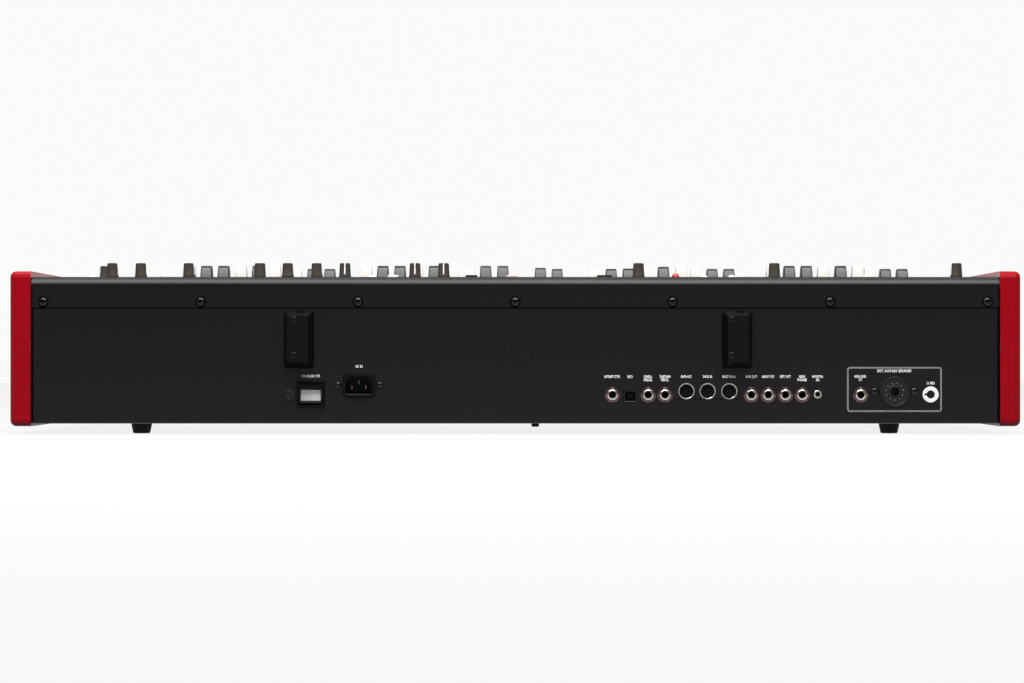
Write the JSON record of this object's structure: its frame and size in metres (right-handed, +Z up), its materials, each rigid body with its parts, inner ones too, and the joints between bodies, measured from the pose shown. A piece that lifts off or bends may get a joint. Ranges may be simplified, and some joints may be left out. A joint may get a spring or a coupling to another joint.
{
  "type": "combo organ",
  "caption": "Combo organ with two waterfall manuals, drawbars, tapered knobs, red cheeks and a row of rear sockets, in a black folded steel case on rubber feet",
  "frame": {"origin": "centre of the footprint, on the floor under the feet", "axes": "+X to the player's right, +Y to the rear panel, +Z up"},
  "size_m": [0.975, 0.389, 0.166],
  "materials": {
    "powder_coated_steel": "fine black texture powder coat",
    "red_lacquered_wood": "glossy red lacquer",
    "black_painted_wood": "satin black paint",
    "zinc_plated_steel": "bright zinc plate",
    "aluminium_case": "plain sheet",
    "circuit_board": "solder mask",
    "white_key": "polished",
    "black_key": "satin",
    "brown_drawbar": "satin",
    "black_drawbar": "satin",
    "white_drawbar": "satin",
    "drawbar_mix": "brown, black and white caps on one frame",
    "knob_plastic": "fine texture",
    "button_plastic": "translucent",
    "black_plastic": "moulded",
    "grey_plastic": "moulded",
    "rubber": "moulded"
  },
  "bodies": {
    "root": {"bottom_pan": "powder_coated_steel", "connector_board": "circuit_board", "drawbar_frame": "drawbar_mix", "front_foot_left": "rubber", "front_foot_right": "rubber", "front_rail": "black_painted_wood", "fuse_holder": "black_plastic", "left_cheek": "red_lacquered_wood", "lower_key_chassis": "zinc_plated_steel", "main_board": "circuit_board", "manual_divider": "black_painted_wood", "middle_foot": "rubber", "panel_board": "circuit_board", "power_inlet": "black_plastic", "power_supply": "aluminium_case", "power_switch_bezel": "black_plastic", "rear_foot_left": "rubber", "rear_foot_right": "rubber", "rear_panel": "powder_coated_steel", "right_cheek": "red_lacquered_wood", "rotary_socket": "black_plastic", "stand_bracket_left": "black_plastic", "stand_bracket_right": "black_plastic", "top_cover": "powder_coated_steel", "upper_key_chassis": "zinc_plated_steel"},
    "button_1": {"button_1": "button_plastic"},
    "button_2": {"button_2": "button_plastic"},
    "button_3": {"button_3": "button_plastic"},
    "button_4": {"button_4": "button_plastic"},
    "drawbar_bass_1": {"drawbar_bass_1": "brown_drawbar"},
    "drawbar_bass_2": {"drawbar_bass_2": "brown_drawbar"},
    "drawbar_main_left_1": {"drawbar_main_left_1": "brown_drawbar"},
    "drawbar_main_left_2": {"drawbar_main_left_2": "brown_drawbar"},
    "drawbar_main_left_3": {"drawbar_main_left_3": "white_drawbar"},
    "drawbar_main_left_4": {"drawbar_main_left_4": "white_drawbar"},
    "drawbar_main_left_5": {"drawbar_main_left_5": "black_drawbar"},
    "drawbar_main_left_6": {"drawbar_main_left_6": "white_drawbar"},
    "drawbar_main_left_7": {"drawbar_main_left_7": "black_drawbar"},
    "drawbar_main_left_8": {"drawbar_main_left_8": "black_drawbar"},
    "drawbar_main_left_9": {"drawbar_main_left_9": "white_drawbar"},
    "knob_01": {"knob_01": "knob_plastic"},
    "knob_02": {"knob_02": "knob_plastic"},
    "knob_03": {"knob_03": "knob_plastic"},
    "knob_04": {"knob_04": "knob_plastic"},
    "knob_05": {"knob_05": "knob_plastic"},
    "knob_06": {"knob_06": "knob_plastic"},
    "knob_07": {"knob_07": "knob_plastic"},
    "knob_08": {"knob_08": "knob_plastic"},
    "knob_09": {"knob_09": "knob_plastic"},
    "knob_10": {"knob_10": "knob_plastic"},
    "knob_11": {"knob_11": "knob_plastic"},
    "knob_12": {"knob_12": "knob_plastic"},
    "knob_13": {"knob_13": "knob_plastic"},
    "lower_naturals_a": {"lower_naturals_a": "white_key"},
    "lower_naturals_b": {"lower_naturals_b": "white_key"},
    "lower_sharps": {"lower_sharps": "black_key"},
    "power_rocker": {"power_rocker": "grey_plastic"},
    "upper_naturals_a": {"upper_naturals_a": "white_key"},
    "upper_naturals_b": {"upper_naturals_b": "white_key"},
    "upper_sharps": {"upper_sharps": "black_key"}
  },
  "joints": [
    {"name": "button_1_press", "type": "slide", "parent": "root", "child": "button_1", "axis": [0, 0.0279, -0.9996], "range_m": [0, 0.0012], "stiffness_N_per_m": 400, "springref_m": -0.002},
    {"name": "button_2_press", "type": "slide", "parent": "root", "child": "button_2", "axis": [0, 0.0279, -0.9996], "range_m": [0, 0.0012], "stiffness_N_per_m": 400, "springref_m": -0.002},
    {"name": "button_3_press", "type": "slide", "parent": "root", "child": "button_3", "axis": [0, 0.0279, -0.9996], "range_m": [0, 0.0012], "stiffness_N_per_m": 400, "springref_m": -0.002},
    {"name": "button_4_press", "type": "slide", "parent": "root", "child": "button_4", "axis": [0, 0.0279, -0.9996], "range_m": [0, 0.0012], "stiffness_N_per_m": 400, "springref_m": -0.002},
    {"name": "drawbar_bass_1_pull", "type": "slide", "parent": "root", "child": "drawbar_bass_1", "axis": [0, -0.9996, -0.0279], "range_m": [-0.05, 0]},
    {"name": "drawbar_bass_2_pull", "type": "slide", "parent": "root", "child": "drawbar_bass_2", "axis": [0, -0.9996, -0.0279], "range_m": [-0.031, 0.019]},
    {"name": "drawbar_main_left_1_pull", "type": "slide", "parent": "root", "child": "drawbar_main_left_1", "axis": [0, -0.9996, -0.0279], "range_m": [-0.05, 0]},
    {"name": "drawbar_main_left_2_pull", "type": "slide", "parent": "root", "child": "drawbar_main_left_2", "axis": [0, -0.9996, -0.0279], "range_m": [-0.05, 0]},
    {"name": "drawbar_main_left_3_pull", "type": "slide", "parent": "root", "child": "drawbar_main_left_3", "axis": [0, -0.9996, -0.0279], "range_m": [-0.0375, 0.0125]},
    {"name": "drawbar_main_left_4_pull", "type": "slide", "parent": "root", "child": "drawbar_main_left_4", "axis": [0, -0.9996, -0.0279], "range_m": [0, 0.05]},
    {"name": "drawbar_main_left_5_pull", "type": "slide", "parent": "root", "child": "drawbar_main_left_5", "axis": [0, -0.9996, -0.0279], "range_m": [0, 0.05]},
    {"name": "drawbar_main_left_6_pull", "type": "slide", "parent": "root", "child": "drawbar_main_left_6", "axis": [0, -0.9996, -0.0279], "range_m": [0, 0.05]},
    {"name": "drawbar_main_left_7_pull", "type": "slide", "parent": "root", "child": "drawbar_main_left_7", "axis": [0, -0.9996, -0.0279], "range_m": [0, 0.05]},
    {"name": "drawbar_main_left_8_pull", "type": "slide", "parent": "root", "child": "drawbar_main_left_8", "axis": [0, -0.9996, -0.0279], "range_m": [0, 0.05]},
    {"name": "drawbar_main_left_9_pull", "type": "slide", "parent": "root", "child": "drawbar_main_left_9", "axis": [0, -0.9996, -0.0279], "range_m": [0, 0.05]},
    {"name": "knob_01_turn", "type": "hinge", "parent": "root", "child": "knob_01", "pos_m": [0.4075, 0.0955, 0.14996], "axis": [0, -0.0279, 0.9996], "range_deg": [-150, 150]},
    {"name": "knob_02_turn", "type": "hinge", "parent": "root", "child": "knob_02", "pos_m": [0.3931, 0.1425, 0.15127], "axis": [0, -0.0279, 0.9996], "range_deg": [-150, 150]},
    {"name": "knob_03_turn", "type": "hinge", "parent": "root", "child": "knob_03", "pos_m": [0.3653, 0.1425, 0.15127], "axis": [0, -0.0279, 0.9996], "range_deg": [-150, 150]},
    {"name": "knob_04_turn", "type": "hinge", "parent": "root", "child": "knob_04", "pos_m": [0.3185, 0.1425, 0.15127], "axis": [0, -0.0279, 0.9996], "range_deg": [-150, 150]},
    {"name": "knob_05_turn", "type": "hinge", "parent": "root", "child": "knob_05", "pos_m": [0.2492, 0.1425, 0.15127], "axis": [0, -0.0279, 0.9996], "range_deg": [-150, 150]},
    {"name": "knob_06_turn", "type": "hinge", "parent": "root", "child": "knob_06", "pos_m": [0.2219, 0.1425, 0.15127], "axis": [0, -0.0279, 0.9996], "range_deg": [-150, 150]},
    {"name": "knob_07_turn", "type": "hinge", "parent": "root", "child": "knob_07", "pos_m": [0.1936, 0.1425, 0.15127], "axis": [0, -0.0279, 0.9996], "range_deg": [-150, 150]},
    {"name": "knob_08_turn", "type": "hinge", "parent": "root", "child": "knob_08", "pos_m": [0.1662, 0.1425, 0.15127], "axis": [0, -0.0279, 0.9996], "range_deg": [-150, 150]},
    {"name": "knob_09_turn", "type": "hinge", "parent": "root", "child": "knob_09", "pos_m": [0.0979, 0.1425, 0.15127], "axis": [0, -0.0279, 0.9996], "range_deg": [-150, 150]},
    {"name": "knob_10_turn", "type": "hinge", "parent": "root", "child": "knob_10", "pos_m": [0.0699, 0.1425, 0.15127], "axis": [0, -0.0279, 0.9996], "range_deg": [-150, 150]},
    {"name": "knob_11_turn", "type": "hinge", "parent": "root", "child": "knob_11", "pos_m": [-0.1202, 0.1425, 0.15127], "axis": [0, -0.0279, 0.9996], "continuous": true},
    {"name": "knob_12_turn", "type": "hinge", "parent": "root", "child": "knob_12", "pos_m": [-0.2527, 0.1425, 0.15127], "axis": [0, -0.0279, 0.9996], "range_deg": [-150, 150]},
    {"name": "knob_13_turn", "type": "hinge", "parent": "root", "child": "knob_13", "pos_m": [-0.4303, 0.1425, 0.15127], "axis": [0, -0.0279, 0.9996], "range_deg": [-150, 150]},
    {"name": "lower_naturals_a_press", "type": "hinge", "parent": "root", "child": "lower_naturals_a", "pos_m": [0, -0.0305, 0.075], "axis": [1, 0, 0], "range_deg": [0, 3.68], "stiffness_Nm_per_rad": 6, "springref_deg": -17.19},
    {"name": "lower_naturals_b_press", "type": "hinge", "parent": "root", "child": "lower_naturals_b", "pos_m": [0, -0.04, 0.0855], "axis": [1, 0, 0], "range_deg": [0, 3.91], "stiffness_Nm_per_rad": 5, "springref_deg": -16.04},
    {"name": "lower_sharps_press", "type": "hinge", "parent": "root", "child": "lower_sharps", "pos_m": [0, -0.04, 0.0645], "axis": [1, 0, 0], "range_deg": [0, 3.91], "stiffness_Nm_per_rad": 3, "springref_deg": -14.32},
    {"name": "power_rocker_tilt", "type": "hinge", "parent": "root", "child": "power_rocker", "pos_m": [0.1971, 0.173, 0.03845], "axis": [1, 0, 0], "range_deg": [-14, 0]},
    {"name": "upper_naturals_a_press", "type": "hinge", "parent": "root", "child": "upper_naturals_a", "pos_m": [0, 0.0455, 0.124], "axis": [1, 0, 0], "range_deg": [0, 3.68], "stiffness_Nm_per_rad": 6, "springref_deg": -17.19},
    {"name": "upper_naturals_b_press", "type": "hinge", "parent": "root", "child": "upper_naturals_b", "pos_m": [0, 0.036, 0.1345], "axis": [1, 0, 0], "range_deg": [0, 3.91], "stiffness_Nm_per_rad": 5, "springref_deg": -16.04},
    {"name": "upper_sharps_press", "type": "hinge", "parent": "root", "child": "upper_sharps", "pos_m": [0, 0.036, 0.1135], "axis": [1, 0, 0], "range_deg": [0, 3.91], "stiffness_Nm_per_rad": 3, "springref_deg": -14.32}
  ]
}
